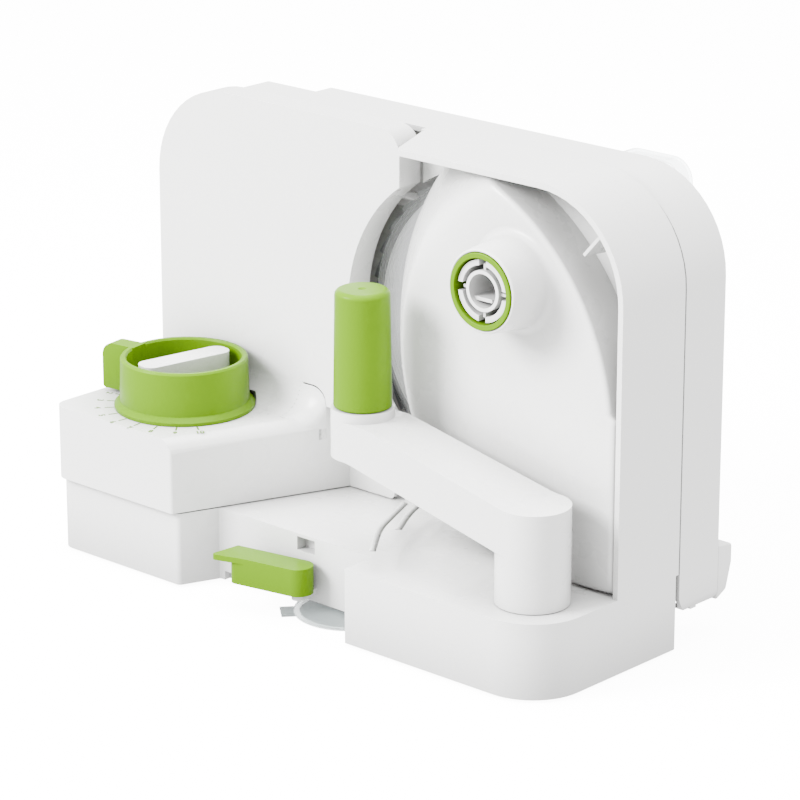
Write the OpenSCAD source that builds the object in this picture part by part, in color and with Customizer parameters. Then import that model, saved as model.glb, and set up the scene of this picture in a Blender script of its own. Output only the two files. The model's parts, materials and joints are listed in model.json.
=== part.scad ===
// Hand-cranked rotary food slicer with a folding food tray.
// X runs along the food stroke, Y from the slice side to the food side, Z up.
// The origin is the middle of the footprint, on the table.

/* [Base] */
// Overall width of the base
base_w = 338; // [320:1:380]
// Height of the base, up to the split under the slice fence
base_h = 41; // [36:1:50]
// Gap under the base that the rubber feet fill
foot_h = 1.5; // [1:0.5:3]
// Front width of the left box
left_w = 91; // [80:1:95]
// Width of the right block, which holds the parked crank
right_w = 129; // [125:1:145]
// How far the middle block stands back from the front
middle_setback = 22; // [18:1:26]
// Radius of the right block's front corner
corner_r = 29; // [20:1:32]
// Wall thickness of the white mouldings
wall = 2.6; // [2:0.1:3.5]

/* [Housing] */
// Height of the housing over the table
housing_top = 243; // [235:1:260]
// Front plane of the housing, from the front of the base
housing_front = 59; // [56:1:64]
// Rear plane of the housing rim
housing_rear = 107; // [104:1:115]
// Outer radius of the housing's top corner
housing_corner_r = 54; // [40:1:60]

/* [Blade] */
// Blade radius to the tips of the teeth
blade_r = 85; // [75:1:87]
// Blade thickness
blade_t = 1.5; // [1:0.1:2]
// Blade centre, from the left side of the base
blade_x = 224; // [220:1:228]
// Blade centre, above the table
blade_z = 144; // [138:1:150]
// Food side of the blade, from the front of the base
food_plane = 99; // [97:0.5:101]
// Number of hooked teeth around the blade
blade_teeth = 36; // [24:1:48]

/* [Drive] */
// Tooth module of the two gears
gear_module = 2; // [2]
// Teeth on the blade's gear
blade_gear_teeth = 39; // [39]
// Teeth on the crank's gear
drive_gear_teeth = 26; // [26]
// Angle of the drive axis over the horizontal, seen from the blade centre
drive_angle = 45.6; // [40:0.1:50]
// Front face of the drive boss, from the front of the base
boss_front = 34; // [30:1:40]

/* [Fence] */
// Height of the slice fence over the table
fence_top = 245.5; // [236:0.5:262]
// Thickness of the fence plate
fence_t = 16.5; // [14:0.5:18]
// Height of the dial box on the fence
dial_box_top = 82; // [72:1:92]
// Slice thickness that the fence is set to
slice_now = 2.1; // [0.5:0.1:6]
// Thickest slice
slice_max = 14; // [10:1:16]

/* [Dial] */
// Dial centre, from the left side of the base
dial_x = 53; // [50:1:56]
// Dial centre, from the front of the base
dial_y = 43.5; // [40:0.5:48]
// Radius of the dial's flange
dial_flange_r = 37.5; // [32:0.5:40]
// Height of the dial
dial_h = 27.5; // [22:0.5:34]

/* [Crank] */
// Length of the crank between its two axes
crank_l = 113; // [90:1:116]
// Radius of the crank's hub
crank_hub_r = 18.8; // [18:0.2:20]
// Rise of the crank's arm from hub to grip
crank_rise = 20; // [16:1:26]
// Length of the grip
grip_l = 61; // [50:1:75]
// Radius of the grip at its lower end
grip_r = 14.9; // [13:0.1:16]

/* [Tray] */
// Left end of the folded tray, from the left side of the base
tray_left = 31; // [28:1:34]
// Top of the folded tray
tray_top = 241; // [230:1:256]
// Bottom edge of the folded tray
tray_bottom = 18; // [16:1:24]
// Depth of the folded tray
tray_t = 31; // [28:1:34]

/* [Suction foot] */
// Radius of the suction cup
cup_r = 29; // [24:1:30]
// How far the lever lifts the cup's stem
cup_lift = 3; // [2:0.5:4]

/* [Hidden] */
$fn = 64;

white = [0.95, 0.95, 0.95];
green = [0.64, 0.80, 0.02];
steel = [0.72, 0.73, 0.75];
grey = [0.35, 0.36, 0.37];
clear = [0.80, 0.84, 0.86, 0.5];

// Clearances
gap = 0.5;          // between mouldings that slide or lift
run = 0.05;         // radial running fit
eps = 0.01;

// Row frame: the middle of the footprint lies at the origin
tray_front = housing_rear + 1;
tray_rear = tray_front + tray_t;
heel = 12;                              // how far the tray's heel stands out behind it
rear_y = tray_rear + heel;
lever_reach = 10.6;                     // how far the lever stands out in front of the base
front_y = -lever_reach;
mid_y = (front_y + rear_y) / 2;
module at_row() {
  translate([-base_w / 2, -mid_y, 0]) children();
}

// Base
right_x = base_w - right_w;
slant = 0.404;                          // sideways run of the left box's right side per length
deck_rear = 98;                         // rear wall behind the deck, clear of the tray's swing
deck_rear_x = [29, base_w - 6];
middle_wall_z = 6.5;                    // lower edge of the middle block's front wall
park = [blade_x + 84, 30];              // where the crank's hub is parked

// Housing
rim_t = 3;
inner_top = housing_top - rim_t;
inner_right = base_w - rim_t;
guard_y = [housing_front, food_plane - blade_t - 5];
step_y = housing_front + 17;            // front of the guard's deeper step, over the blade gear
recess_y = 84;                          // floor of the crescent recess

// Drive
drive_centres = gear_module * (blade_gear_teeth + drive_gear_teeth) / 2;
drive_x = blade_x + drive_centres * cos(drive_angle);
drive_z = blade_z + drive_centres * sin(drive_angle);
gear_front = step_y + 2.9;
gear_t = 8.5;
plate_y = gear_front + gear_t + 1.2;    // gear plate, behind the gears
plate_t = 2.4;
shaft_r = 8;
axle_r = 5;
boss_r = [20.9, 23.6];
ring_r = 19.4;

// Fence
fence_rear = food_plane - 1.4 - slice_now;
fence_front = fence_rear - fence_t;
fence_back = fence_rear - 2.1;          // where the fence ends and its ribbed face begins
box_front = -1.4 - slice_now;
fence_z = base_h + gap + 0.3;
fence_right = 175;
fence_foot_right = 160;
fence_arc_r = blade_r + 1;
sweep_r = 16;
fence_foot_top = 88;
fence_arc = [blade_x + 1, blade_z + 2.5];

// Dial
dial_at = [dial_x, dial_y];
dial_base = dial_box_top + 0.3;
pinion_teeth = 10;
pinion_module = 1;
pinion_r = pinion_module * pinion_teeth / 2;
pinion_z = base_h + 9;
pinion_t = 8;
spindle_r = 6.5;
tab_turn = 188.5;
grip_turn = 79;
grip_half = dial_flange_r - 10.5;

// Crank
grip_at = [park.x - crank_l, park.y];
hub_top = 92;
arm_t = 21;
collar_z = hub_top + crank_rise;
grip_z = collar_z + 5;
grip_end_r = 16.2;

// Tray
hinge_inset = 12.6;                     // hinge axis from the tray's inner face and lower edge
swing_r = hinge_inset + 0.4;            // rounds the tray's corner for its swing
hinge = [tray_front + hinge_inset, tray_bottom + hinge_inset];
lug_x = [[36, 46], [base_w - 20, base_w - 10]];
hinge_r = 3;
tray_floor = tray_front + 13;
tray_step_x = 66;

// Suction foot
cup_at = [179, 37];
lever_at = [166.5, 11.8];
lever_r = 7.8;
lever_z = [14.3, 29];
lever_rest = 10.8;
lever_turn = 75;
pivot_r = 2;
peg_arm = 9;
peg_r = 1.2;
peg_at = lever_at - peg_arm * [cos(lever_turn / 2), -sin(lever_turn / 2)];
wedge_travel = 2 * peg_arm * sin(lever_turn / 2);
wedge_z = [16.5, 20];
tongue_x = [154.5, 162.5];
tongue_z = [10.5, 13.8];
stem_r = 3;

// ---- Outlines ----

// Points on an arc from angle a0 to angle a1 about a centre
function arc(c, r, a0, a1, n = 16) = [for (i = [0:n]) c + r * [cos(a0 + (a1 - a0) * i / n), sin(a0 + (a1 - a0) * i / n)]];

// The arc that rounds the corner b between a and c
function corner(a, b, c, r) =
  let (
    u = (a - b) / norm(a - b),
    v = (c - b) / norm(c - b),
    half = acos(u * v) / 2,
    m = b + (u + v) / norm(u + v) * r / sin(half),
    p = b + u * r / tan(half) - m,
    s = sign(cross(p, b + v * r / tan(half) - m)),
    turn = 180 - 2 * half,
    a0 = atan2(p.y, p.x)
  )
  arc(m, r, a0, a0 + s * turn, max(2, ceil(turn / 7)));

// A closed outline from [x, y, corner radius] points
function rounded(pts) =
  let (n = len(pts))
  [
    for (i = [0:n - 1])
      let (
        a = pts[(i + n - 1) % n],
        b = pts[i],
        c = pts[(i + 1) % n]
      )
      each (b.z > 0 ? corner([a.x, a.y], [b.x, b.y], [c.x, c.y], b.z) : [[b.x, b.y]])
  ];

// Extrudes an XZ outline along Y between two planes
module along_y(y0, y1) {
  translate([0, y1, 0]) rotate([90, 0, 0]) linear_extrude(y1 - y0) children();
}

// Extrudes a YZ outline along X between two planes
module along_x(x0, x1) {
  translate([x0, 0, 0]) rotate([90, 0, 90]) linear_extrude(x1 - x0) children();
}

// A round bar along Y
module bar_y(x, z, y0, y1, r, r2 = 0) {
  translate([x, y0, z]) rotate([-90, 0, 0]) cylinder(h = y1 - y0, r1 = r, r2 = r2 > 0 ? r2 : r);
}

// A round bar along X
module bar_x(y, z, x0, x1, r) {
  translate([x0, y, z]) rotate([0, 90, 0]) cylinder(h = x1 - x0, r = r);
}

// A block between two corners
module block(a, b) {
  translate(a) cube(b - a);
}

// Outline of a spur gear with straight-flanked teeth, thinned for backlash
function gear_points(n, m, turn = 0) =
  let (r = m * n / 2, pitch = 360 / n)
  [
    for (i = [0:n - 1], k = [[-0.34, -1.2], [-0.21, 0], [-0.105, 0.9], [0.105, 0.9], [0.21, 0], [0.34, -1.2]])
      let (a = turn + (i + k.x) * pitch)
      (r + k.y * m) * [cos(a), sin(a)]
  ];

// A pan head screw, head down, at a place
module screw_z(at, z, length, r = 1.6, head = 1.8) {
  translate([at.x, at.y, z]) {
    difference() {
      cylinder(h = head, r = r * 2, $fn = 24);
      translate([0, 0, -eps]) cylinder(h = head * 0.6, r = r * 0.7, $fn = 6);
    }
    translate([0, 0, head]) cylinder(h = length, r = r, $fn = 24);
  }
}

// A pan head screw along Y, head towards the food side
module screw_y(x, z, y_head, length, r = 1.6) {
  translate([x, y_head, z]) rotate([90, 0, 0]) {
    difference() {
      cylinder(h = 1.8, r = r * 2, $fn = 24);
      translate([0, 0, -eps]) cylinder(h = 1, r = r * 0.7, $fn = 6);
    }
    translate([0, 0, 1.8]) cylinder(h = length, r = r, $fn = 24);
  }
}

// ---- Base ----

function side_x(y) = left_w + slant * y;

foot_at = [
  [16, 16], [16, deck_rear - 14], [base_w - 52, 18], [base_w - 18, housing_rear - 16]
];
guide_x = cup_at.x + 6.4;
notch_x = [156, 168.5];
notch_z = [32, base_h - 1.6];
plate_screw_at = [[46, 12], [46, deck_rear - 12], [base_w - 62, 44], [base_w - 62, deck_rear - 10]];

module base_outline() {
  polygon(rounded([
    [0, 0, 9], [left_w, 0, 3], [side_x(middle_setback), middle_setback, 1.5],
    [right_x, middle_setback, 1], [right_x, 0, 2], [base_w, 0, corner_r],
    [base_w, housing_rear, 3], [deck_rear_x[1], housing_rear, 0], [deck_rear_x[1], deck_rear, 0],
    [deck_rear_x[0], deck_rear, 0], [deck_rear_x[0], housing_rear, 0], [0, housing_rear, 3]
  ]));
}

module left_cavity(inset) {
  polygon(rounded([
    [inset, inset, 7], [left_w - inset, inset, 2], [side_x(deck_rear) - inset - 12, deck_rear - inset, 2],
    [inset, deck_rear - inset, 4]
  ]));
}

module right_cavity(inset) {
  polygon(rounded([
    [side_x(middle_setback) + inset, middle_setback + inset, 2], [right_x + inset, middle_setback + inset, 1],
    [right_x + inset, inset, 2], [base_w - inset, inset, corner_r - inset],
    [base_w - inset, deck_rear - inset, 3], [side_x(deck_rear) + inset, deck_rear - inset, 2]
  ]));
}

module right_plate_outline(inset) {
  polygon(rounded([
    [right_x + inset, inset, 2], [base_w - inset, inset, corner_r - inset],
    [base_w - inset, deck_rear - inset, 3], [right_x + inset, deck_rear - inset, 2]
  ]));
}

module base_shell() at_row() color(white) difference() {
  union() {
    translate([0, 0, foot_h]) linear_extrude(base_h - foot_h) base_outline();
    translate([park.x, park.y, base_h]) cylinder(h = 12, r = 8.2);
    // shelf that carries the lever's pivot
    translate([lever_at.x, lever_at.y, tongue_z[0]]) cylinder(h = lever_z[0] - 0.3 - tongue_z[0], r = 3.6);
    block([lever_at.x - 3, lever_at.y, tongue_z[0]], [lever_at.x + 3, middle_setback + 1, lever_z[0] - 0.3]);
  }
  translate([lever_at.x, lever_at.y, tongue_z[0] + 0.5]) cylinder(h = 10, r = pivot_r);
  // hollow from below
  translate([0, 0, -1]) linear_extrude(base_h - wall + 1) difference() {
    left_cavity(wall);
    for (p = plate_screw_at) translate(p) circle(r = 4);
  }
  translate([0, 0, -1]) linear_extrude(base_h - wall + 1) difference() {
    right_cavity(wall);
    for (p = plate_screw_at) translate(p) circle(r = 4);
    // guide rib and ledge beside the wedge, pocket behind the notch
    translate([guide_x, middle_setback + 4]) square([2.4, 36]);
    translate([guide_x - 2.5, cup_at.y + 3]) square([2.6, 8]);
    translate([notch_x[0] - 1.6, middle_setback]) square([notch_x[1] - notch_x[0] + 3.2, 8]);
  }
  block([guide_x - 2.6, middle_setback + 3, -1], [guide_x + 2.6, cup_at.y + 26, wedge_z[0] - 2.3]);
  block([guide_x - 2.6, cup_at.y + 2.9, wedge_z[0] - 0.3], [guide_x, cup_at.y + 11.1, base_h - wall]);
  block([notch_x[0] - 1.7, middle_setback + wall, -1], [notch_x[1] + 1.7, middle_setback + 8.1, notch_z[0] - 1.6]);
  // the bosses stop over the underplates
  for (p = plate_screw_at) translate([p.x, p.y, -1]) cylinder(h = foot_h + 3.15, r = 4.5);
  // open lower edge of the middle block
  block([side_x(0) + 12, middle_setback - 1, -1], [right_x - eps, middle_setback + wall + 1, middle_wall_z]);
  // notch near the top of the middle block
  block([notch_x[0], middle_setback - 1, notch_z[0]], [notch_x[1], middle_setback + 6.4, notch_z[1]]);
  // slot for the wedge's tongue
  block([tongue_x[0] - 0.5, middle_setback - 1, tongue_z[0] - 0.4],
        [tongue_x[1] + 0.4, middle_setback + wall + 1, tongue_z[1] + 0.4]);
  for (p = plate_screw_at) translate([p.x, p.y, -1]) cylinder(h = 16, r = 1.6);
  for (p = foot_at) translate([p.x, p.y, foot_h - eps]) cylinder(h = 1, r = 4);
}

module left_underplate() at_row() color(white) difference() {
  translate([0, 0, foot_h]) linear_extrude(2) left_cavity(wall + 0.15);
  for (p = [foot_at[0], foot_at[1]]) translate([p.x, p.y, foot_h - 1]) cylinder(h = 4, r = 2.6);
  for (i = [0, 1]) translate([plate_screw_at[i].x, plate_screw_at[i].y, 0]) cylinder(h = 6, r = 1.65);
}

module right_underplate() at_row() color(white) difference() {
  translate([0, 0, foot_h]) linear_extrude(2) right_plate_outline(wall + 0.15);
  for (p = [foot_at[2], foot_at[3]]) translate([p.x, p.y, foot_h - 1]) cylinder(h = 4, r = 2.6);
  for (i = [2, 3]) translate([plate_screw_at[i].x, plate_screw_at[i].y, 0]) cylinder(h = 6, r = 1.65);
}

module base_screws() at_row() color(steel)
  for (p = plate_screw_at) screw_z(p, foot_h - 1.25, 10, 1.55, 1.2);

module foot(i) at_row() color(grey) translate([foot_at[i - 1].x, foot_at[i - 1].y, 0]) {
  cylinder(h = foot_h, r = 7);
  cylinder(h = foot_h + 3, r = 2.5);
}

// ---- Housing, guard and drive ----

// Outline of the housing rim, inset towards its middle
module rim_outline(inset, left) {
  polygon(rounded([
    [left, base_h, 0], [base_w - inset, base_h, 0],
    [base_w - inset, housing_top - inset, housing_corner_r - inset], [left, housing_top - inset, 0]
  ]));
}

rim_left = 172.5;                       // left end of the rim, behind the fence
rim_left_front = 191.5;                 // left end of the rim's front lip
wall_left = fence_right + 0.6;          // left end of what faces the closed fence

module housing() at_row() color(white) difference() {
  union() {
    // the rim, with its left end cut back for the fence
    intersection() {
      along_y(housing_front, housing_rear) difference() {
        rim_outline(0, 150);
        rim_outline(rim_t, 140);
      }
      linear_extrude(housing_top + 10) polygon(rounded([
        [rim_left, housing_rear + 1, 0], [rim_left, deck_rear + 0.2, 1], [wall_left, deck_rear - 0.5, 1],
        [wall_left, deck_rear - 2, 6], [rim_left_front, housing_front - 1, 9],
        [base_w + 1, housing_front - 1, 0], [base_w + 1, housing_rear + 1, 0]
      ]));
    }
    // the wall flush with the blade
    along_y(food_plane - wall, food_plane) intersection() {
      rim_outline(eps, wall_left);
      polygon(rounded([
        [163, base_h, 0], [base_w, base_h, 0], [base_w, housing_top, housing_corner_r], [wall_left, housing_top, 0],
        [wall_left, blade_z, 0]
      ]));
    }
    // sill under the blade
    block([163, food_plane - wall, base_h], [base_w - 1, food_plane, base_h + 14]);
  }
  bar_y(blade_x, blade_z, food_plane - wall - 1, food_plane + 1, blade_r + 1.5);
}

// The guard's face slopes back to its left edge as part of a wide cone
cone_at = [blade_x + 76, blade_z - 1];
cone_front_r = 106;
cone_slope = 0.905;                     // growth of the cone's radius per depth
right_arc = [blade_x - 18.7, blade_z - 24.3];
right_arc_r = 127.4;
slot_end_z = 133;

// Outline of the guard without its slope
module guard_outline(inset) {
  right = inner_right - inset - 0.2;
  intersection() {
    union() {
      translate(right_arc) circle(r = right_arc_r - inset, $fn = 180);
      polygon([[blade_x, base_h], [right, base_h], [right, slot_end_z - inset], [blade_x, slot_end_z - inset]]);
    }
    polygon(rounded([
      [100, base_h + gap, 0], [right, base_h + gap, 0],
      [right, inner_top - inset - 0.2, housing_corner_r - rim_t - inset], [100, inner_top - inset - 0.2, 0]
    ]));
  }
}

// Solid under the sloping face, inset by a wall
module guard_body(inset) {
  rim = inset * 1.35;
  intersection() {
    along_y(guard_y[0] + inset, guard_y[1] + (inset > 0 ? 1 : 0)) guard_outline(inset);
    bar_y(cone_at.x, cone_at.y, guard_y[0], guard_y[1] + 2,
      cone_front_r - rim, cone_front_r - rim + cone_slope * (guard_y[1] + 2 - guard_y[0]));
  }
}

guard_screw_at = [
  [blade_x + 62, blade_z - 74], [blade_x + 28, blade_z - 74], [blade_x + 88, blade_z + 8], [blade_x - 8, blade_z + 60]
];

// Floor of the crescent between the guard and the rim
module guard_floor() {
  difference() {
    polygon(rounded([
      [blade_x + 30, slot_end_z, 0], [inner_right - 0.2, slot_end_z, 0],
      [inner_right - 0.2, inner_top - 0.2, housing_corner_r - rim_t], [blade_x + 30, inner_top - 0.2, 0]
    ]));
    guard_outline(1);
  }
}

module blade_guard() at_row() color(white) difference() {
  union() {
    difference() {
      guard_body(0);
      guard_body(wall);
    }
    along_y(recess_y, recess_y + wall) guard_floor();
    // stiffening rib across the crescent
    intersection() {
      along_y(housing_front + 1.5, recess_y + 1) guard_floor();
      translate([drive_x + 42, 0, drive_z + 22]) rotate([0, -48, 0]) translate([-20, 0, 0]) cube([60, 200, 1.8]);
    }
    // bosses for the axle, the drive and the screws
    bar_y(drive_x, drive_z, boss_front, guard_y[0] + 1, boss_r[0], boss_r[1]);
    intersection() {
      union() {
        bar_y(blade_x, blade_z, guard_y[0] + 1, gear_front - 1.2, 11);
        bar_y(drive_x, drive_z, guard_y[0] + 1, gear_front - 1.2, 14);
        for (p = guard_screw_at) bar_y(p.x, p.y, guard_y[0] + 1, plate_y, 4.5);
      }
      guard_body(0);
    }
  }
  bar_y(drive_x, drive_z, boss_front - 1, guard_y[0] - 3, ring_r);
  bar_y(drive_x, drive_z, boss_front, plate_y + 2, 11);
  bar_y(blade_x, blade_z, gear_front - 12, plate_y, axle_r);
  for (p = guard_screw_at) bar_y(p.x, p.y, plate_y - 12, plate_y + 1, 1.6);
}

module guard_screws() at_row() color(steel)
  for (p = guard_screw_at) screw_y(p.x, p.y, plate_y + plate_t + 1.8, 12, 1.55);

plate_cone_r = cone_front_r + cone_slope * (plate_y - guard_y[0]) - wall * 1.35 - 0.3;

module gear_plate() at_row() color(grey) difference() {
  intersection() {
    along_y(plate_y, plate_y + plate_t) guard_outline(wall + 0.2);
    bar_y(cone_at.x, cone_at.y, plate_y - 1, plate_y + plate_t + 1, plate_cone_r);
  }
  bar_y(blade_x, blade_z, plate_y - 1, plate_y + plate_t + 1, 24);
  bar_y(drive_x, drive_z, plate_y - 1, plate_y + plate_t + 1, 4 + run);
  for (p = guard_screw_at) bar_y(p.x, p.y, plate_y - 1, plate_y + plate_t + 1, 1.7);
}

module drive_bush() at_row() color(steel) difference() {
  bar_y(drive_x, drive_z, guard_y[0] - 1, gear_front - 1.3, 11);
  bar_y(drive_x, drive_z, guard_y[0] - 2, gear_front, shaft_r + run);
}

module boss_ring() at_row() color(green) difference() {
  bar_y(drive_x, drive_z, boss_front - 0.8, boss_front + 8, ring_r);
  bar_y(drive_x, drive_z, boss_front - 2, boss_front + 9, 16.6);
}

module blade_axle() at_row() color(steel) {
  bar_y(blade_x, blade_z, gear_front - 12, food_plane - 1, axle_r);
}

// ---- Parts on the base ----

rail_x = [14, 76];
rail_w = 8;
rail_h = 5;

module slide_rails() at_row() color(grey)
  for (x = rail_x) block([x, 20, base_h], [x + rail_w, 66, base_h + rail_h]);

module dial_rack() at_row() color(grey) {
  pitch = PI * pinion_module;
  before = ceil((slice_max + pinion_r) / pitch);
  after = ceil((slice_now + pinion_r) / pitch) + 1;
  back_x = dial_x + pinion_r + 6.3;
  translate([0, 0, base_h]) linear_extrude(pinion_z + pinion_t - base_h) polygon([
    [back_x, dial_y - before * pitch],
    each [
      for (i = [-before:after - 1], k = [[1.25, 0.17], [0, 0.29], [-0.8, 0.38], [-0.8, 0.62], [0, 0.71], [1.25, 0.83]])
        [dial_x + pinion_r + k.x * pinion_module, dial_y + (i + k.y) * pitch]
    ],
    [back_x, dial_y + after * pitch]
  ]);
}

module hinge_lugs() at_row() color(white) difference() {
  for (x = lug_x) {
    along_x(x[0], x[1]) {
      polygon([
        [deck_rear, hinge.y - 5.5], [deck_rear, hinge.y + 4.5], [hinge.x - 0.5, hinge.y + 5.4], [hinge.x - 0.5, hinge.y - 5.4]
      ]);
      translate([hinge.x, hinge.y]) circle(r = 5.5);
    }
  }
  bar_x(hinge.x, hinge.y, 0, base_w, hinge_r);
}

module hinge_pin() at_row() color(steel) {
  for (x = lug_x) bar_x(hinge.x, hinge.y, x[0] - 7, x[1] + 7, hinge_r);
}

// ---- Fence ----

module box_outline(inset) {
  polygon(rounded([
    [inset, box_front + inset, 9 - inset], [side_x(box_front) + 0.4 - inset, box_front + inset, 2],
    [side_x(fence_back) - inset, fence_back, 0], [inset, fence_back, 0]
  ]));
}

// Outline of the fence plate, seen from the front, with its hollow around the blade
module plate_outline(inset) {
  low = acos((fence_foot_right - fence_arc.x) / fence_arc_r);
  high = acos((fence_right - 1.5 - fence_arc.x) / fence_arc_r);
  difference() {
    polygon(rounded([
      [inset, fence_z + inset, 0], [fence_foot_right - inset, fence_z + inset, 3],
      [fence_foot_right - inset, fence_arc.y - fence_arc_r * sin(low) + 8, 0],
      [fence_arc.x - fence_arc_r * 0.2, fence_arc.y, 0],
      [fence_right - inset, fence_arc.y + fence_arc_r * sin(high) - 8, 0],
      [fence_right - inset, fence_top - inset, 13 - inset], [inset, fence_top - inset, 50 - inset]
    ]));
    translate(fence_arc) circle(r = fence_arc_r + inset, $fn = 180);
  }
}

// Waste outside a rounded edge of radius r
module edge_waste(r) {
  polygon([each arc([0, 0], r, 90, 0, 8), [r, -2 * r], [4 * r, -2 * r], [4 * r, 3 * r], [0, 3 * r]]);
}

// Space to the right of the dial box, in front of the sheet that carries the food face
module foot_cut(grow) {
  sheet_y = fence_back - 1.8 + grow;
  translate([0, 0, fence_z - 1]) linear_extrude(fence_foot_top - fence_z + 1 + grow) polygon([
    [side_x(fence_front - 4) - grow, fence_front - 4], [side_x(sheet_y) - grow, sheet_y],
    [fence_foot_right + 5, sheet_y], [fence_foot_right + 5, fence_front - 4]
  ]);
}

module fence() at_row() color(white) difference() {
  union() {
    // dial box, with its rounded right-hand top edge
    difference() {
      translate([0, 0, fence_z]) linear_extrude(dial_box_top - fence_z) box_outline(0);
      translate([side_x(box_front) - 9.2, box_front, dial_box_top - 8.8]) rotate([0, 0, -atan(slant)])
        along_y(-40, 150) edge_waste(9);
    }
    // plate
    along_y(fence_front, fence_back) plate_outline(0);
    // sweep from the box up into the plate
    along_x(1.5, side_x(fence_front - sweep_r) - 10) polygon([
      each arc([fence_front - sweep_r, dial_box_top + sweep_r], sweep_r, -90, 0, 10),
      [fence_front + 1, dial_box_top + sweep_r], [fence_front + 1, dial_box_top - 1],
      [fence_front - sweep_r, dial_box_top - 1]
    ]);
  }
  // right of the dial box only a thin sheet reaches down to the deck
  foot_cut(0);
  // room for the dial
  translate([dial_x, dial_y, dial_box_top]) cylinder(h = 5, r = dial_flange_r + 0.6);
  translate([dial_x, dial_y, dial_box_top + 4]) cylinder(h = dial_h + 1, r = dial_flange_r - 2.2);
  // hollow box, open below
  translate([0, 0, fence_z - 1]) linear_extrude(dial_box_top - wall - fence_z + 1) intersection() {
    box_outline(wall);
    translate([0, box_front]) square([200, fence_front - box_front]);
  }
  // hollow plate, open at the back
  difference() {
    along_y(fence_front + wall, fence_rear) plate_outline(wall);
    foot_cut(wall);
    translate([dial_x, dial_y, dial_box_top - wall]) cylinder(h = 10, r = dial_flange_r + 0.6 + wall);
  }
  translate([dial_x, dial_y, fence_z]) cylinder(h = 60, r = spindle_r + run);
}

module fence_face() at_row() color(white) {
  along_y(fence_back, fence_rear - 0.6) plate_outline(0);
  // vertical ribs that let the food slide
  intersection() {
    along_y(fence_rear - 1, fence_rear) plate_outline(3);
    for (i = [0:14]) block([12 + i * 11, fence_rear - 1, fence_z], [14 + i * 11, fence_rear, fence_top]);
  }
}

module slide_plate() at_row() color(white) difference() {
  union() {
    translate([0, 0, pinion_z + pinion_t + 2]) linear_extrude(2.5) intersection() {
      box_outline(wall + 0.1);
      translate([0, box_front]) square([200, fence_front - box_front - 0.1]);
    }
    for (x = rail_x) block([x - 4.5, 12, base_h + 1.2], [x + rail_w + 4.5, 70, pinion_z + pinion_t + 3]);
  }
  for (x = rail_x) block([x - 0.3, 11, base_h], [x + rail_w + 0.3, 71, base_h + rail_h + 0.4]);
  translate([dial_x, dial_y, fence_z]) cylinder(h = 60, r = spindle_r + 0.3);
}

// ---- Dial ----

module dial_ring() at_row() color(green) translate([dial_x, dial_y, dial_base]) difference() {
  union() {
    rotate_extrude($fn = 128) polygon([
      [0, 0], [dial_flange_r, 0], [dial_flange_r, 1.6], [dial_flange_r - 2, 3.4],
      [dial_flange_r - 3, 4], [dial_flange_r - 3.6, dial_h - 1], [dial_flange_r - 4.4, dial_h],
      [dial_flange_r - 6.2, dial_h], [dial_flange_r - 7, dial_h - 1], [dial_flange_r - 7.6, dial_h - 13], [0, dial_h - 13]
    ]);
    // pointer tab
    rotate([0, 0, tab_turn]) along_y(-5.2, 5.2) polygon(rounded([
      [30, 2, 0], [51, 2, 2], [51, dial_h, 7], [30, dial_h, 0]
    ]));
  }
  // clear the dished middle again
  translate([0, 0, dial_h - 13]) cylinder(h = 20, r = dial_flange_r - 7.6);
  translate([0, 0, -1]) cylinder(h = dial_h - 15.5, r = dial_flange_r - 8);
  translate([0, 0, -1]) cylinder(h = 40, r = 3);
}

module dial_grip() at_row() color(white) translate([dial_x, dial_y, dial_base + dial_h - 13]) rotate([0, 0, grip_turn]) {
  difference() {
    translate([0, 0, 0.05]) linear_extrude(12) polygon(rounded([
      [-grip_half, -7, 6], [grip_half, -7, 6], [grip_half, 7, 6], [-grip_half, 7, 6]
    ]));
    translate([0, 0, -1]) cylinder(h = 5, r = 3.2);
  }
}

module dial_spindle() at_row() color(grey) translate([dial_x, dial_y, 0]) difference() {
  union() {
    translate([0, 0, pinion_z + pinion_t + 0.2]) cylinder(h = dial_base + dial_h - 17.3 - pinion_z - pinion_t, r = spindle_r);
    translate([0, 0, dial_base + 0.1]) cylinder(h = dial_h - 17.2, r = 12);
  }
  translate([0, 0, 40]) cylinder(h = 80, r = 1.6);
}

module dial_pinion() at_row() color(grey) translate([dial_x, dial_y, pinion_z]) difference() {
  linear_extrude(pinion_t) polygon(gear_points(pinion_teeth, pinion_module, 0));
  translate([0, 0, -1]) cylinder(h = pinion_t + 2, r = 1.65);
}

module dial_screw() at_row() color(steel) screw_z(dial_at, pinion_z - 2, dial_base + dial_h - 14 - pinion_z, 1.5);

// ---- Blade set ----

module blade_outline() {
  step = 360 / blade_teeth;
  // each tooth rises slowly and drops at once, so the rim hooks forward
  polygon([
    for (i = [0:blade_teeth - 1], k = [0:5])
      let (a = i * step + step * k / 5.05, r = blade_r - 3.2 + 3.2 * pow(k / 5, 0.7))
      r * [cos(a), sin(a)]
  ]);
}

module blade() at_row() color(steel) translate([blade_x, food_plane, blade_z]) rotate([90, 0, 0]) difference() {
  linear_extrude(blade_t) blade_outline();
  // ground bevel on the slice side
  translate([0, 0, blade_t - 0.5]) rotate_extrude($fn = 128) polygon([[blade_r - 8, 0.51], [blade_r + 1, 0], [blade_r + 1, 2], [blade_r - 8, 2]]);
  translate([0, 0, -1]) cylinder(h = 4, r = 14);
  for (i = [0:2]) rotate([0, 0, 120 * i + 30]) translate([19, 0, -1]) cylinder(h = 4, r = 1.7);
}

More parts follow.
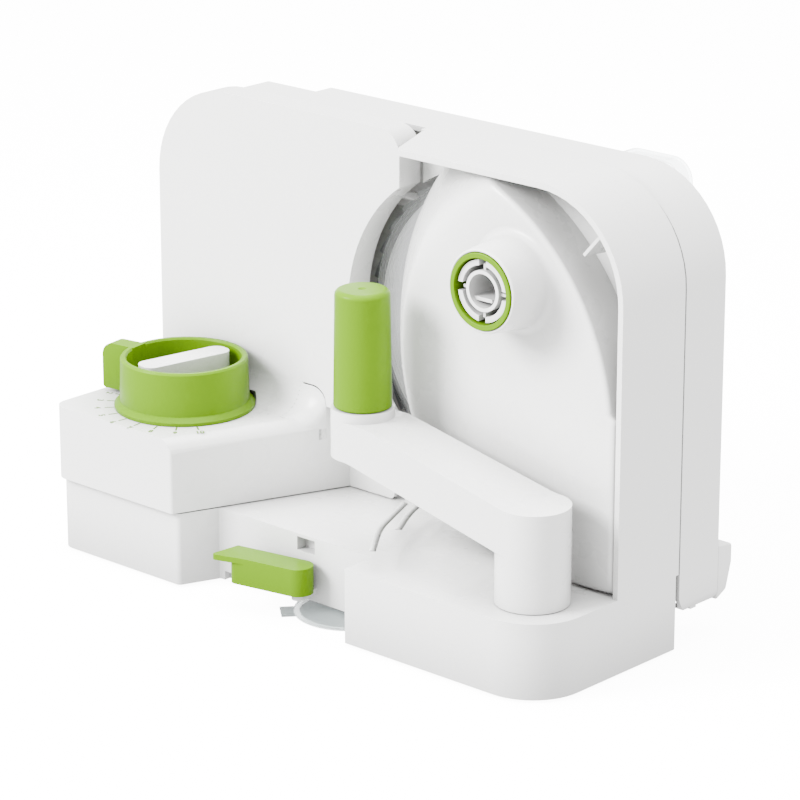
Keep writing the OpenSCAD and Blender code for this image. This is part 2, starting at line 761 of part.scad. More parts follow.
module blade_gear() at_row() color(white) difference() {
  union() {
    translate([blade_x, gear_front + gear_t, blade_z]) rotate([90, 0, 0])
      linear_extrude(gear_t) polygon(gear_points(blade_gear_teeth, gear_module, 0));
    bar_y(blade_x, blade_z, gear_front - 1, gear_front + gear_t, 12);
    bar_y(blade_x, blade_z, gear_front + 1, food_plane - blade_t, 23.5);
    bar_y(blade_x, blade_z, food_plane - blade_t - 0.5, food_plane - 0.2, 13.95);
  }
  bar_y(blade_x, blade_z, gear_front - 2, food_plane + 1, axle_r + run);
  for (i = [0:2]) translate([blade_x, 0, blade_z]) rotate([0, -120 * i - 30, 0]) bar_y(19, 0, food_plane - blade_t - 9, food_plane, 1.3);
}

module blade_cap() at_row() color(steel) difference() {
  bar_y(blade_x, blade_z, food_plane + eps, food_plane + 1.4, 15.5);
  bar_y(blade_x, blade_z, food_plane - 1, food_plane + 0.6, axle_r + 0.4);
}

module blade_screws() at_row() color(steel)
  for (i = [0:2]) translate([blade_x, 0, blade_z]) rotate([0, -120 * i - 30, 0]) {
    bar_y(19, 0, food_plane - blade_t - 7, food_plane + 0.05, 1.28);
    bar_y(19, 0, food_plane, food_plane + 1, 3);
  }

// ---- Crank drive ----

mesh_turn = drive_angle + 180;

module drive_gear() at_row() color(white) difference() {
  union() {
    // turned so that a gap faces the tooth of the blade gear on the line of centres
    translate([drive_x, gear_front + gear_t, drive_z]) rotate([90, 0, 0]) linear_extrude(gear_t)
      polygon(gear_points(drive_gear_teeth, gear_module, gear_phase));
    bar_y(drive_x, drive_z, guard_y[0] - 1.5, gear_front + 1, shaft_r);
    bar_y(drive_x, drive_z, gear_front + gear_t - 1, plate_y + plate_t + 1, 4);
  }
  bar_y(drive_x, drive_z, guard_y[0] - 3, gear_front + 4, 1.6);
}

// Half a pitch off wherever the blade gear shows a tooth to the drive gear
blade_tooth = drive_angle * blade_gear_teeth / 360;
drive_tooth = mesh_turn * drive_gear_teeth / 360;
gear_phase = (drive_tooth + blade_tooth - 0.5) * 360 / drive_gear_teeth;

module drive_socket() at_row() color(white) {
  floor_y = guard_y[0] - 4.5;
  difference() {
    union() {
      // castellated ring
      difference() {
        bar_y(drive_x, drive_z, boss_front + 1.2, floor_y + 1, 15.7);
        bar_y(drive_x, drive_z, boss_front, floor_y, 12.9);
        for (a = [0, 90]) translate([drive_x, 0, drive_z]) rotate([0, a, 0])
          block([-20, boss_front - 1, -2.2], [20, floor_y - 8, 2.2]);
      }
      // centre tube and its four webs
      bar_y(drive_x, drive_z, boss_front + 1.2, floor_y, 10.4);
      for (a = [0, 90]) translate([drive_x, 0, drive_z]) rotate([0, a, 0])
        block([-13.5, boss_front + 3, -0.7], [13.5, floor_y + 1, 0.7]);
      bar_y(drive_x, drive_z, floor_y - 1, guard_y[0] - 3.4, 15.7);
      bar_y(drive_x, drive_z, guard_y[0] - 4, guard_y[0] - 1.6, 8);
    }
    bar_y(drive_x, drive_z, boss_front, floor_y - 1, 8.6);
    bar_y(drive_x, drive_z, floor_y - 3, guard_y[0], 1.6);
  }
  // key inside the bore
  block([drive_x - 8.8, boss_front + 4, drive_z - 6], [drive_x + 4, floor_y - 0.5, drive_z - 4.2]);
}

module drive_screw() at_row() color(steel) {
  bar_y(drive_x, drive_z, guard_y[0] - 7.3, guard_y[0] - 5.55, 3);
  bar_y(drive_x, drive_z, guard_y[0] - 6, gear_front + 3, 1.5);
}

// ---- Crank ----

module crank_plan(r0, r1) {
  d = crank_l;
  a = asin((r0 - r1) / d);
  translate(park) circle(r = r0, $fn = 96);
  translate(grip_at) circle(r = r1, $fn = 96);
  polygon([
    park + r0 * [-sin(a), cos(a)], grip_at + r1 * [-sin(a), cos(a)],
    grip_at + r1 * [-sin(a), -cos(a)], park + r0 * [-sin(a), -cos(a)]
  ]);
}

// Side view of the crank: the hub stands on the base, the arm rises to the grip
module crank_side() {
  tip = grip_at.x - grip_end_r - 1;
  polygon(rounded([
    [park.x + crank_hub_r + 1, hub_top - arm_t - 3, 0], [park.x + crank_hub_r + 1, hub_top, 0],
    [park.x - 2, hub_top, 30], [grip_at.x + 16, collar_z, 12], [tip, collar_z, 0],
    [tip, collar_z - arm_t, 0], [grip_at.x + 4, collar_z - arm_t, 30],
    [park.x, hub_top - arm_t - 3, 0]
  ]));
}

module crank_arm() at_row() color(white) difference() {
  union() {
    intersection() {
      linear_extrude(200) crank_plan(crank_hub_r, grip_end_r);
      along_y(park.y - 40, park.y + 40) crank_side();
    }
    translate([park.x, park.y, base_h + gap]) cylinder(h = hub_top - base_h - gap - 6, r = crank_hub_r);
    translate([grip_at.x, grip_at.y, collar_z - 12]) cylinder(h = grip_z - collar_z + 11.7, r = grip_end_r);
  }
  // socket in the hub
  translate([park.x, park.y, base_h]) cylinder(h = 30, r = crank_hub_r - 2.6);
  translate([grip_at.x, grip_at.y, collar_z - 12]) cylinder(h = 40, r = 4);
  translate([park.x, park.y, base_h + 20]) cylinder(h = 20, r = 1.6);
}

module crank_plug() at_row() color(white) translate([park.x, park.y, 0]) difference() {
  union() {
    translate([0, 0, base_h + 6]) cylinder(h = 24, r = 12.4);
    translate([0, 0, base_h + 27]) cylinder(h = 3 - eps, r = crank_hub_r - 2.7);
    for (a = [0:90:270]) rotate([0, 0, a]) translate([10, -1.8, base_h + 8]) cube([5.4, 3.6, 20]);
  }
  translate([0, 0, base_h]) cylinder(h = 20, r = 8.2 + 0.25);
  translate([0, 0, base_h + 10]) cylinder(h = 30, r = 1.6);
}

module crank_screw() at_row() color(steel) screw_z(park, base_h + 18.1, 14, 1.5);

module grip_pin() at_row() color(steel) translate([grip_at.x, grip_at.y, 0]) {
  translate([0, 0, collar_z - 12]) cylinder(h = grip_z + grip_l - 8 - collar_z + 12, r = 4);
  translate([0, 0, grip_z + grip_l - 8]) cylinder(h = 2, r = 5.6);
}

module grip_sleeve() at_row() color(green) translate([grip_at.x, grip_at.y, grip_z]) difference() {
  rotate_extrude($fn = 96) polygon([
    each [[0, 0], [grip_r - 1, 0]], each arc([grip_r - 1, 1], 1, -90, 0, 4),
    each arc([grip_r - 3.8, grip_l - 3], 3, 5, 90, 8), [0, grip_l]
  ]);
  translate([0, 0, -1]) cylinder(h = grip_l - 7, r = 4 + run);
  translate([0, 0, grip_l - 8.4]) cylinder(h = 3, r = 6);
  translate([0, 0, grip_l + 3.4]) sphere(r = 4.2, $fn = 48);
}

// ---- Food tray ----

// Side view of the folded tray, with the lower inner corner cut for its swing
module tray_side(depth) {
  off = acos(hinge_inset / swing_r);
  polygon([
    each arc(hinge, swing_r, 180 + off, 270 - off, 10), [tray_front + depth, tray_bottom],
    [tray_front + depth, tray_top], [tray_front, tray_top]
  ]);
}

module tray_outline(inset, left) {
  polygon(rounded([
    [left + inset, tray_bottom + inset, max(6 - inset, 1)], [base_w - inset, tray_bottom + inset, max(6 - inset, 1)],
    [base_w - inset, tray_top - inset, housing_corner_r - 2 - inset], [left + inset, tray_top - inset, 6]
  ]));
}

// Slot that the hinge lug swings through
module lug_slot(x) {
  along_x(x[0] - 0.6, x[1] + 0.6) {
    translate([hinge.x, hinge.y]) circle(r = 6.3);
    polygon([[tray_front - 8, tray_bottom - 8], [hinge.x + 6.3, tray_bottom - 8], [hinge.x + 6.3, hinge.y],
      [hinge.x, hinge.y + 6.3], [tray_front - 8, hinge.y + 6.3]]);
  }
}

module tray() at_row() color(white) difference() {
  union() {
    intersection() {
      along_y(tray_front, tray_rear) union() {
        difference() {
          tray_outline(0, tray_step_x);
          tray_outline(wall, tray_step_x);
        }
      }
      along_x(0, base_w + 1) tray_side(tray_t);
    }
    // inner layer, which runs further left
    intersection() {
      along_y(tray_front, tray_rear - 12) difference() {
        tray_outline(0, tray_left);
        tray_outline(wall, tray_left);
      }
      along_x(0, base_w + 1) tray_side(tray_t);
    }
    // table floor
    intersection() {
      along_y(tray_floor, tray_floor + wall) tray_outline(1, tray_left);
      along_x(0, base_w + 1) tray_side(tray_t);
    }
    // hinge cheeks on both sides of each lug
    for (x = lug_x, dx = [[-9, -0.6], [0.6, 9]])
      let (x0 = dx[0] < 0 ? x[0] : x[1])
      along_x(x0 + dx[0], x0 + dx[1]) {
        translate([hinge.x, hinge.y]) circle(r = 6);
        polygon([
          [hinge.x - 2, tray_bottom + 1], [tray_floor + wall - 0.5, tray_bottom + 1],
          [tray_floor + wall - 0.5, hinge.y + 12], [hinge.x + 0.6, hinge.y + 5.8], [hinge.x - 5.8, hinge.y]
        ]);
      }
    // carriage rails
    for (z = [tray_bottom + 46, tray_top - 70]) block([52, tray_floor - 3, z], [base_w - 26, tray_floor + 1, z + 6]);
  }
  for (x = lug_x) lug_slot(x);
  for (x = lug_x) bar_x(hinge.x, hinge.y, x[0] - 9.5, x[1] + 9.2, hinge_r + run);
  // left inner layer stays shallow
  block([tray_left - 1, tray_rear - 12, tray_bottom - 1], [tray_step_x, tray_rear + 1, tray_top + 1]);
  // the outer layer's left wall stops at the floor
  block([tray_step_x - 1, tray_front - 1, tray_bottom + wall], [tray_step_x + wall + 1, tray_floor, tray_top - wall]);
}

module tray_foot() at_row() color(white) {
  along_x(base_w - 9, base_w - 0.2) polygon(rounded([
    [tray_rear, tray_bottom, 0], [tray_rear + heel - 4, tray_bottom + 4, 3], [tray_rear + heel, tray_bottom + 18, 2],
    [tray_rear + heel, tray_bottom + 28, 2], [tray_rear, tray_bottom + 30, 0]
  ]));
}

carriage_x = [56, 176];
carriage_z = [tray_bottom + 12, tray_top - 40];

module carriage() at_row() color(white) difference() {
  union() {
    block([carriage_x[0], tray_floor - 6, carriage_z[0]], [carriage_x[1], tray_floor - 0.4, carriage_z[1]]);
    // low wall at the outer end
    block([carriage_x[0], tray_front + 1, carriage_z[1] - 5], [carriage_x[1], tray_floor - 1, carriage_z[1]]);
  }
  for (z = [tray_bottom + 46, tray_top - 70])
    block([carriage_x[0] - 1, tray_floor - 3.4, z - 0.4], [carriage_x[1] + 1, tray_floor, z + 6.4]);
}

module carriage_stop() at_row() color(grey) {
  block([base_w - 34, tray_floor - 5, carriage_z[0] + 20], [base_w - 30, tray_floor, carriage_z[0] + 34]);
}

guard_x = [base_w - 76, base_w - 30];
guard_z = [tray_top - 88, tray_top];

module guard_shell(inset) {
  polygon(rounded([
    [guard_x[0] + inset, guard_z[0] + inset, 12 - inset], [guard_x[1] - inset, guard_z[0] + inset, 12 - inset],
    [guard_x[1] - inset, guard_z[1] - inset, 12 - inset], [guard_x[0] + inset, guard_z[1] - inset, 12 - inset]
  ]));
}

module finger_guard() at_row() color(clear) {
  difference() {
    along_y(tray_rear + 0.6, tray_rear + 10.5) guard_shell(0);
    along_y(tray_rear + 2.6, tray_rear + 12) guard_shell(2);
  }
  // legs that rest against the tray's underside
  for (x = [guard_x[0] + 14, guard_x[1] - 17])
    block([x, tray_floor + wall + 0.4, guard_z[0] + 30], [x + 3, tray_rear + 1, guard_z[0] + 46]);
}

// ---- Suction foot ----

module suction_lever() at_row() color(green) translate([lever_at.x, lever_at.y, 0]) difference() {
  rotate([0, 0, lever_rest]) {
    translate([0, 0, lever_z[0]]) linear_extrude(lever_z[1] - lever_z[0]) polygon(rounded([
      [-38, -lever_r, 4], [lever_r, -lever_r, lever_r - 0.1], [lever_r, lever_r, lever_r - 0.1], [-38, lever_r, 3]
    ]));
    // finger lip
    translate([0, 0, lever_z[1] - 3]) linear_extrude(3)
      polygon(rounded([[-47.2, -10.1, 1.5], [-28, -lever_r, 0], [-28, lever_r, 0], [-42.3, lever_r, 1.5]]));
  }
  cylinder(h = lever_z[1] - 2, r = pivot_r + run);
  translate([peg_at.x - lever_at.x, peg_at.y - lever_at.y, 0]) cylinder(h = lever_z[0] + 4, r = peg_r);
}

module lever_pivot() at_row() color(steel) translate([lever_at.x, lever_at.y, tongue_z[0] + 0.5])
  cylinder(h = lever_z[1] - 3 - tongue_z[0], r = pivot_r);

module lever_peg() at_row() color(steel) translate([peg_at.x, peg_at.y, tongue_z[0] + 0.2])
  cylinder(h = lever_z[0] + 4 - tongue_z[0] - 0.2, r = peg_r);

// Fork under the stem's flange, drawn forward by the lever's peg
module lift_wedge() at_row() color(grey) {
  fork_x = [cup_at.x - 6, cup_at.x + 6];
  low = cup_at.y + 6;
  ends = [cup_at.y - 1, low + wedge_travel + 6];
  bridge_y = [low, low + 10];
  difference() {
    union() {
      along_x(fork_x[0], fork_x[1]) polygon([
        [ends[0], wedge_z[0]], [ends[1], wedge_z[0]], [ends[1], wedge_z[1] + cup_lift],
        [low + wedge_travel, wedge_z[1] + cup_lift], [low, wedge_z[1]], [ends[0], wedge_z[1]]
      ]);
      block([tongue_x[0], bridge_y[0], wedge_z[0]], [fork_x[0] + 1, bridge_y[1], wedge_z[1]]);
      block([tongue_x[0], bridge_y[0], tongue_z[0]], [tongue_x[1], bridge_y[1], wedge_z[1]]);
      block([tongue_x[0], peg_at.y - peg_r - 2, tongue_z[0]], [tongue_x[1], bridge_y[1], tongue_z[1]]);
    }
    block([cup_at.x - stem_r - 0.4, ends[0] - 1, 0], [cup_at.x + stem_r + 0.4, cup_at.y + wedge_travel + stem_r + 0.4, 40]);
    block([lever_at.x - peg_arm - peg_r - 0.3, peg_at.y - peg_r - 0.2, 0],
          [peg_at.x + peg_r + 0.3, peg_at.y + peg_r + 0.2, tongue_z[1] + 1]);
  }
}

module cup_stem() at_row() color(grey) translate([cup_at.x, cup_at.y, 0]) {
  translate([0, 0, 6.5]) cylinder(h = 26, r = stem_r);
  translate([0, 0, wedge_z[1] + 0.1]) cylinder(h = 2, r = 6);
}

module suction_cup() at_row() color(clear) translate([cup_at.x, cup_at.y, 0]) {
  difference() {
    rotate_extrude($fn = 96) polygon([
      [0, 2.2], [cup_r - 3, 0], [cup_r, 0], [cup_r, 1.4], [12, 5.2], [9, 5.6], [9, 12.5], [0, 12.5]
    ]);
    translate([0, 0, 6.4]) cylinder(h = 20, r = stem_r + run);
  }
  rotate([0, 0, 229]) translate([cup_r - 2, -6, 0.3]) cube([9, 12, 1.2]);
}

base_shell();
left_underplate();
right_underplate();
base_screws();
for (i = [1:4]) foot(i);
housing();
blade_guard();
guard_screws();
gear_plate();
drive_bush();
boss_ring();
blade_axle();
slide_rails();
dial_rack();
hinge_lugs();
hinge_pin();
fence();
fence_face();
slide_plate();
dial_ring();
dial_grip();
dial_spindle();
dial_pinion();
dial_screw();
blade();
blade_gear();
blade_cap();
blade_screws();
drive_gear();
drive_socket();
drive_screw();
crank_arm();
crank_plug();
crank_screw();
grip_pin();
grip_sleeve();
tray();
tray_foot();
carriage();
carriage_stop();
finger_guard();
suction_lever();
lever_pivot();
lever_peg();
lift_wedge();
cup_stem();
suction_cup();
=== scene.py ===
"""Looks for a hand-cranked rotary food slicer: rounded white mouldings, green controls, a brushed blade."""

import json
import math

import bmesh
import bpy
from bpy.props import FloatProperty, FloatVectorProperty, IntProperty, PointerProperty
from bpy.types import Operator, Panel, PropertyGroup
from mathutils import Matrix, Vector


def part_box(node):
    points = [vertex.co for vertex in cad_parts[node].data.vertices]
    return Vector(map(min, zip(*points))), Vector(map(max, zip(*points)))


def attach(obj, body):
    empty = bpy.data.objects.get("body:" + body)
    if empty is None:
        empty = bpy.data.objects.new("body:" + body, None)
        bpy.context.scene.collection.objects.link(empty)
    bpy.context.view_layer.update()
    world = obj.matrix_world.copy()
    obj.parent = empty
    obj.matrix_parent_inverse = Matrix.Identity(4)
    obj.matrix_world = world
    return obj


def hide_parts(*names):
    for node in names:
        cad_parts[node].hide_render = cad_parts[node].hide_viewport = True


bl_info = {
    "name": "Rotary food slicer",
    "version": (1, 0, 0),
    "blender": (4, 5, 0),
    "location": "3D View > Sidebar > Slicer",
    "description": "Builds the looks of a hand-cranked food slicer around its working parts",
    "category": "Object",
}

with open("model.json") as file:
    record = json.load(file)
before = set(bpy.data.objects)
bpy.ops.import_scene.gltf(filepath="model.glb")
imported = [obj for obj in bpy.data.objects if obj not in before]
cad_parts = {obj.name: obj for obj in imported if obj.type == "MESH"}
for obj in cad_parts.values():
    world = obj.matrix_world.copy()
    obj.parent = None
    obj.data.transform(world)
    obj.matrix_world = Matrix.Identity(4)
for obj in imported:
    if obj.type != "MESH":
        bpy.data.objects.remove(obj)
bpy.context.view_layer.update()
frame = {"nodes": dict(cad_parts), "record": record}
RECORD = frame["record"]
SLOTS = {row["node"]: row["material_slot"] for row in RECORD["subparts"]}
TINTS = {row["slot"]: row["base_color"] for row in RECORD["materials"]}
BODY = {node: body for body, nodes in RECORD["behaviour"]["bodies"].items() for node in nodes}
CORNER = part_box("base_shell")[0]
MM = 0.001
BOX_TOP = 82.0  # top of the dial box over the table
BOX_FRONT_W = 91.0  # width of the dial box at its front
BOX_SLANT = 0.404  # sideways run of the dial box's right side per length
BOX_EDGE_R = 9.0  # radius along that side's top edge
FENCE_T = 16.5  # thickness of the fence
SWEEP_R = 16.0  # radius of the sweep from dial box to fence
SWEEP_LEFT = 104.0  # where the sweep's shaped end begins
SWEEP_FOOT = 70.0  # how deep that end reaches into the dial box


def at(x, y, z):
    """A place given in millimetres from the base's left front corner on the table."""
    return Vector((CORNER[0] + x * MM, CORNER[1] + y * MM, z * MM))


def middle(node):
    """The middle of a CAD node's box, in millimetres from the same corner."""
    low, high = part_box(node)
    centre = (Vector(low) + Vector(high)) / 2
    return Vector(((centre.x - CORNER[0]) / MM, (centre.y - CORNER[1]) / MM, centre.z / MM))


def edge(node, axis, side):
    """One face of a CAD node's box, in the same millimetres; side is 0 for low and 1 for high."""
    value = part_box(node)[side][axis]
    return (value - (CORNER[axis] if axis < 2 else 0.0)) / MM


# ---- Shader graphs ----


class Value:
    """A number or vector in a shader graph that can be reckoned with."""

    def __init__(self, graph, socket):
        self.graph = graph
        self.socket = socket

    def _math(self, operation, first, second=0.0):
        return self.graph.node("ShaderNodeMath", {"operation": operation}, {0: first, 1: second})

    def __add__(self, other):
        return self._math("ADD", self, other)

    __radd__ = __add__

    def __sub__(self, other):
        return self._math("SUBTRACT", self, other)

    def __rsub__(self, other):
        return self._math("SUBTRACT", other, self)

    def __mul__(self, other):
        return self._math("MULTIPLY", self, other)

    __rmul__ = __mul__

    def __pow__(self, other):
        return self._math("POWER", self, other)

    def above(self, limit):
        """1 where this is over the limit, else 0."""
        return self._math("GREATER_THAN", self, limit)


class Graph:
    """One material's shader graph, ending in a Principled shader."""

    def __init__(self, name):
        self.material = bpy.data.materials.new(name)
        self.material.use_nodes = True
        self.tree = self.material.node_tree
        self.shader = self.tree.nodes["Principled BSDF"]

    def node(self, kind, settings=None, inputs=None, output=0):
        """Adds a node: its settings first, then its inputs as values or links."""
        made = self.tree.nodes.new(kind)
        for key, value in (settings or {}).items():
            setattr(made, key, value)
        for key, value in (inputs or {}).items():
            if isinstance(value, Value):
                self.tree.links.new(value.socket, made.inputs[key])
            else:
                made.inputs[key].default_value = value
        return Value(self, made.outputs[output])

    def place(self):
        """Where the surface is, in the part's own metres."""
        return self.node("ShaderNodeTexCoord", output="Object")

    def noise(self, scale, detail=2.0, vector=None):
        """Soft noise from 0 to 1."""
        where = vector if vector is not None else self.place()
        return self.node("ShaderNodeTexNoise", None, {"Vector": where, "Scale": scale, "Detail": detail}, "Fac")

    def mix(self, factor, first, second):
        """A colour between two colours."""
        return self.node(
            "ShaderNodeMix", {"data_type": "RGBA"}, {0: factor, 6: tuple(first), 7: tuple(second)}, 2
        )

    def blend(self, factor, first, second):
        """One of two varying colours, or between them."""
        return self.node("ShaderNodeMix", {"data_type": "RGBA"}, {0: factor, 6: first, 7: second}, 2)

    def feed(self, name, value):
        """Links a varying value, or sets a constant, on the shader."""
        if isinstance(value, Value):
            self.tree.links.new(value.socket, self.shader.inputs[name])
        else:
            self.shader.inputs[name].default_value = value

    def grain(self, height, strength, distance):
        """Bumps the surface."""
        inputs = {"Strength": strength, "Distance": distance, "Height": height}
        self.feed("Normal", self.node("ShaderNodeBump", None, inputs, "Normal"))


def shade(colour, factor):
    """A colour made lighter or darker, with alpha 1."""
    return tuple(min(1.0, part * factor) for part in colour[:3]) + (1.0,)


def moulding(name, colour, rough, coat, gleam, depth):
    """Glossy moulded plastic: faint flow marks in the colour, painted shade that darkens the colour in corners,
    creases and recesses, and a fine skin.
    """
    graph = Graph(name)
    plain = graph.mix(graph.noise(14.0), shade(colour, 0.985), shade(colour, 1.012))
    # Painted shade: ambient occlusion blends the colour towards a darker copy (the colour times depth) in corners,
    # creases and recesses.
    corners = graph.node("ShaderNodeAmbientOcclusion", {"samples": 6}, {"Distance": 0.035}, "AO")
    shaded_copy = graph.mix(graph.noise(14.0), shade(colour, depth), shade(colour, depth * 1.03))
    graph.feed("Base Color", graph.blend(corners ** 1.4, shaded_copy, plain))
    graph.feed("Specular IOR Level", gleam)
    graph.feed("Roughness", graph.noise(60.0, 3.0) * 0.07 + rough)
    graph.feed("Coat Weight", coat)
    graph.feed("Coat Roughness", 0.12)
    graph.feed("IOR", 1.49)
    graph.grain(graph.noise(900.0, 1.0), 0.02, 0.0002)
    return graph.material


def satin(name, colour, rough, skin):
    """Satin plastic or rubber with an eroded skin."""
    graph = Graph(name)
    graph.feed("Base Color", graph.mix(graph.noise(45.0), shade(colour, 0.9), shade(colour, 1.1)))
    graph.feed("Roughness", graph.noise(160.0) * 0.12 + rough)
    graph.grain(graph.noise(1600.0), skin, 0.0003)
    return graph.material


def turned(name, colour, centre, rings, shade_radius=1.0):
    """Steel with fine turning lines round an axis along Y through a centre; painted shade darkens it outside the
    given radius, near the blade's teeth.
    """
    graph = Graph(name)
    parts = graph.place()
    x = graph.node("ShaderNodeSeparateXYZ", None, {0: parts}, 0) - centre.x
    z = graph.node("ShaderNodeSeparateXYZ", None, {0: parts}, 2) - centre.z
    radius = (x * x + z * z) ** 0.5
    line = graph.node("ShaderNodeCombineXYZ", None, {0: radius * rings})
    lines = graph.noise(1.0, 3.0, line)
    graph.feed("Metallic", 1.0)
    plain = graph.mix(lines, shade(colour, 0.86), shade(colour, 1.1))
    # Painted shade: beyond the last argument's radius the steel turns darker, standing in for the shadows near the
    # blade's teeth.
    painted_teeth_shade = graph.mix(lines, shade(colour, 0.4), shade(colour, 0.62))
    graph.feed("Base Color", graph.blend(radius.above(shade_radius), plain, painted_teeth_shade))
    graph.feed("Roughness", lines * 0.16 + 0.2)
    graph.grain(lines, 0.12, 0.0001)
    return graph.material


def glassy(name, colour, rough, passing, alpha):
    """Clear or milky plastic that lets light through."""
    graph = Graph(name)
    graph.feed("Base Color", graph.mix(graph.noise(30.0), shade(colour, 0.96), shade(colour, 1.0)))
    graph.feed("Roughness", graph.noise(120.0) * 0.05 + rough)
    graph.feed("Transmission Weight", passing)
    graph.feed("IOR", 1.45)
    graph.feed("Alpha", alpha)
    return graph.material


def finish_of(slot):
    """The material for one of the record's slots, made once."""
    name = slot + "_finish"
    if name in bpy.data.materials:
        return bpy.data.materials[name]
    looks = bpy.context.scene.slicer_looks
    # The last number given to moulding is how dark its painted shade in corners and recesses makes the colour.
    if slot == "white_plastic":
        return moulding(name, looks.white, looks.gloss, 0.15, 0.4, 0.42)
    if slot == "green_plastic":
        return moulding(name, looks.green, looks.gloss + 0.04, 0.0, 0.06, 0.45)
    if slot == "grey_plastic":
        return satin(name, TINTS[slot], 0.45, 0.15)
    if slot == "foot_rubber":
        return satin(name, TINTS[slot], 0.7, 0.3)
    if slot == "clear_plastic":
        return glassy(name, (0.62, 0.67, 0.68), 0.04, 0.75, 0.6)
    if slot == "clear_rubber":
        return glassy(name, (0.2, 0.23, 0.23), 0.2, 0.3, 0.92)
    low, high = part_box("blade")
    axis = (Vector(low) + Vector(high)) / 2
    if slot == "blade_steel":
        # The blade's outer 7.5 mm band is painted darker as shade near the teeth.
        return turned(name, shade(TINTS[slot], 0.82), axis, 1500.0, (high[0] - low[0]) / 2 - 7.5 * MM)
    return turned(name, TINTS[slot], axis, 900.0)


# ---- Building helpers ----


def dress(node, width, segments=3, angle=35.0):
    """Rounds a CAD node's edges with modifiers and gives it its finish."""
    piece = frame["nodes"][node]
    piece.data.materials.clear()
    piece.data.materials.append(finish_of(SLOTS[node]))
    if width > 0:
        weld = piece.modifiers.new("weld", "WELD")
        weld.merge_threshold = 0.00001
        flat = piece.modifiers.new("flat", "DECIMATE")
        flat.decimate_type = "DISSOLVE"
        flat.angle_limit = math.radians(0.5)
        round_off = piece.modifiers.new("round", "BEVEL")
        round_off.width = width * MM
        round_off.segments = segments
        round_off.limit_method = "ANGLE"
        round_off.angle_limit = math.radians(angle)
        round_off.use_clamp_overlap = True
        round_off.harden_normals = False
    for polygon in piece.data.polygons:
        polygon.use_smooth = True
    piece.modifiers.new("normals", "WEIGHTED_NORMAL").keep_sharp = True


def solid(name, verts, faces, slot, body, bevel=0.0, smooth=True):
    """A new piece from points and faces, riding on a body."""
    mesh = bpy.data.meshes.new(name)
    mesh.from_pydata([tuple(v) for v in verts], [], faces)
    build = bmesh.new()
    build.from_mesh(mesh)
    bmesh.ops.remove_doubles(build, verts=build.verts, dist=1e-7)
    bmesh.ops.recalc_face_normals(build, faces=build.faces)
    for face in build.faces:
        face.smooth = smooth
    build.to_mesh(mesh)
    build.free()
    piece = bpy.data.objects.new(name, mesh)
    bpy.context.scene.collection.objects.link(piece)
    mesh.materials.append(finish_of(slot))
    if bevel > 0:
        round_off = piece.modifiers.new("round", "BEVEL")
        round_off.width = bevel * MM
        round_off.segments = 3
        round_off.limit_method = "ANGLE"
        round_off.angle_limit = math.radians(35)
    piece.modifiers.new("normals", "WEIGHTED_NORMAL").keep_sharp = True
    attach(piece, body)
    return piece


def lathe_y(profile, x, z, steps=96):
    """Points and faces of a ring turned round an axis along Y; profile is (radius, y) in millimetres."""
    verts = []
    faces = []
    count = len(profile)
    for i in range(steps):
        angle = 2 * math.pi * i / steps
        for radius, y in profile:
            verts.append(at(x + radius * math.cos(angle), y, z + radius * math.sin(angle)))
    for i in range(steps):
        for j in range(count - 1):
            a = i * count + j
            b = ((i + 1) % steps) * count + j
            faces.append((a, a + 1, b + 1, b))
    return verts, faces


# ---- Choices ----


class SlicerLooks(PropertyGroup):
    """Colours and roundings of the slicer."""

    white: FloatVectorProperty(
        name="White", description="Colour of the white mouldings", subtype="COLOR", size=3,
        default=tuple(TINTS["white_plastic"][:3]), min=0, max=1,
    )
    green: FloatVectorProperty(
        name="Green", description="Colour of the dial, grip and lever", subtype="COLOR", size=3,
        default=(0.105, 0.225, 0.0), min=0, max=1,
    )
    gloss: FloatProperty(
        name="Roughness", description="Roughness of the mouldings", subtype="FACTOR", default=0.24, min=0, max=1,
    )
    rounding: FloatProperty(
        name="Rounding", description="Edge radius of the mouldings in millimetres", default=1.2, min=0.2, max=3,
    )
    digits: FloatProperty(
        name="Digit height", description="Height of the dial's numbers in millimetres", default=3.6, min=2, max=6,
    )
    last_number: IntProperty(
        name="Last number", description="Highest number on the dial", default=10, min=4, max=12,
    )


class SlicerStage(PropertyGroup):
    """Camera and light."""

    azimuth: FloatProperty(
        name="Azimuth", description="Camera's angle round the slicer", subtype="ANGLE",
        default=math.radians(42.43),
    )
    elevation: FloatProperty(
        name="Elevation", description="Camera's angle over the table", subtype="ANGLE",
        default=math.radians(18.3),
    )
    distance: FloatProperty(
        name="Distance", description="Camera's distance", subtype="DISTANCE", unit="LENGTH", default=1.884,
    )
    lens: FloatProperty(name="Lens", description="Focal length in millimetres", default=167.2, min=20, max=300)
    sky: FloatProperty(name="Sky", description="Strength of the even light", default=2.2, min=0, max=12)
    table_glow: FloatProperty(
        name="Table glow", description="Light that the white table gives off itself", default=11.0, min=0, max=20,
    )
    key: FloatProperty(
        name="Key light", description="Power of the main soft light", unit="POWER", default=260.0, min=0,
    )


# ---- Pieces ----


ROUNDED = {
    "base_shell": 1.6, "housing": 0.9, "fence": 3.2, "fence_face": 0.3, "crank_arm": 2.6, "tray": 1.0,
    "tray_foot": 1.2, "carriage": 0.8, "hinge_lugs": 0.8, "left_underplate": 0.3, "right_underplate": 0.3,
    "slide_plate": 0.3,
    "dial_grip": 2.4, "drive_socket": 0.25, "blade_gear": 0.2, "drive_gear": 0.2, "crank_plug": 0.4,
}


class SLICER_OT_mouldings(Operator):
    """Round the white mouldings and give them their finish"""

    bl_idname = "slicer.mouldings"
    bl_label = "White mouldings"

    def execute(self, context):
        factor = context.scene.slicer_looks.rounding / 1.2
        for node, width in ROUNDED.items():
            dress(node, width * factor)
        return {"FINISHED"}


